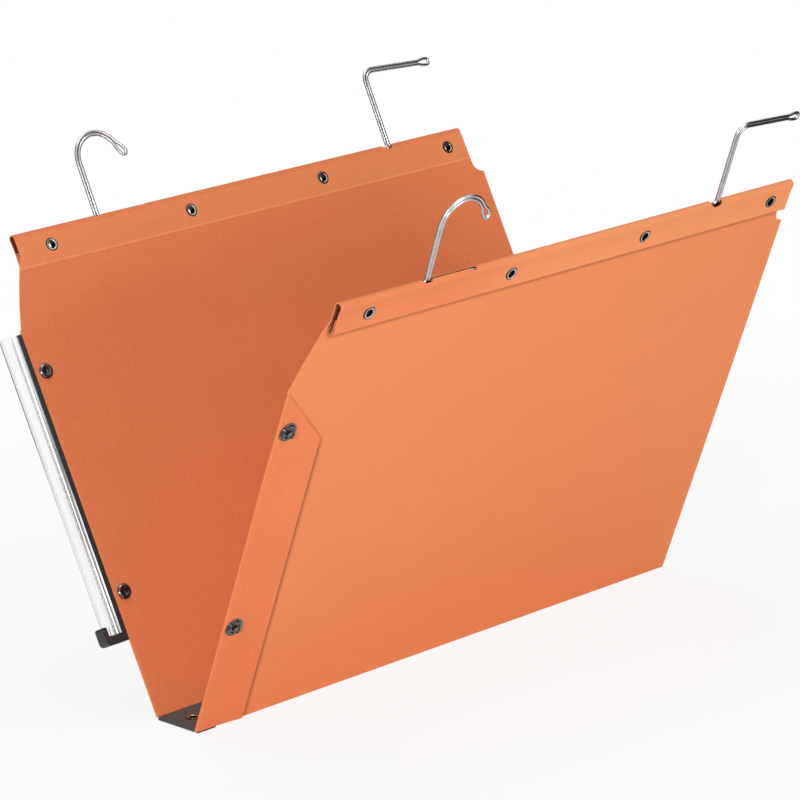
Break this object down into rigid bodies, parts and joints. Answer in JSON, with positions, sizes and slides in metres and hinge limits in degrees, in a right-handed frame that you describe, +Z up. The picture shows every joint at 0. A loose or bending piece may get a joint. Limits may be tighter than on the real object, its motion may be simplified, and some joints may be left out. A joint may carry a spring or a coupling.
{
  "type": "hanging file folder",
  "caption": "Hanging file folder of folded card with a flat base, wire hooks in the hems of both panels, press studs and a clear label holder on the front edge.",
  "frame": {"origin": "bottom centre of the bounding box: halfway between the creases, halfway between the front of the label holder and the rear edge, on the plane that the base stands on", "axes": "+X along the folder from its label end to its rear end, +Y towards the panel with the label holder, +Z up"},
  "size_m": [0.3436, 0.2854, 0.2692],
  "materials": {
    "kraft_card": "matte heavy kraft",
    "pressboard": "matte",
    "bright_wire": "bright zinc",
    "eyelet_steel": "bright",
    "black_snap": "gloss black",
    "black_rail": "satin",
    "clear_window": "clear plastic",
    "label_paper": "matte"
  },
  "bodies": {
    "base": {"bottom_card": "kraft_card", "base_board": "pressboard", "base_eyelets": "eyelet_steel"},
    "near_side": {"near_panel": "kraft_card", "near_hem_eyelets": "eyelet_steel", "near_snap_studs": "black_snap", "near_snap_posts": "black_snap"},
    "far_side": {"far_panel": "kraft_card", "far_hem_eyelets": "eyelet_steel", "far_snap_sockets": "black_snap", "far_snap_posts": "black_snap", "label_rail": "black_rail", "label_window": "clear_window"},
    "near_wire": {"near_hem_wire": "bright_wire"},
    "far_wire": {"far_hem_wire": "bright_wire"},
    "label": {"label_card": "label_paper"}
  },
  "joints": [
    {"name": "near_crease", "type": "hinge", "parent": "base", "child": "near_side", "pos_m": [0, -0.015, 0.0011], "axis": [1, 0, 0], "range_deg": [-25, 55]},
    {"name": "far_crease", "type": "hinge", "parent": "base", "child": "far_side", "pos_m": [0, 0.015, 0.0011], "axis": [-1, 0, 0], "range_deg": [-25, 55]},
    {"name": "near_wire_turn", "type": "hinge", "parent": "near_side", "child": "near_wire", "pos_m": [0.0068, -0.12276, 0.22747], "axis": [1, 0, 0], "range_deg": [-15, 15]},
    {"name": "far_wire_turn", "type": "hinge", "parent": "far_side", "child": "far_wire", "pos_m": [0.0068, 0.12276, 0.22747], "axis": [-1, 0, 0], "range_deg": [-15, 15]},
    {"name": "label_slide", "type": "slide", "parent": "far_side", "child": "label", "axis": [0, 0.4226, 0.9063], "range_m": [0, 0.15]}
  ]
}
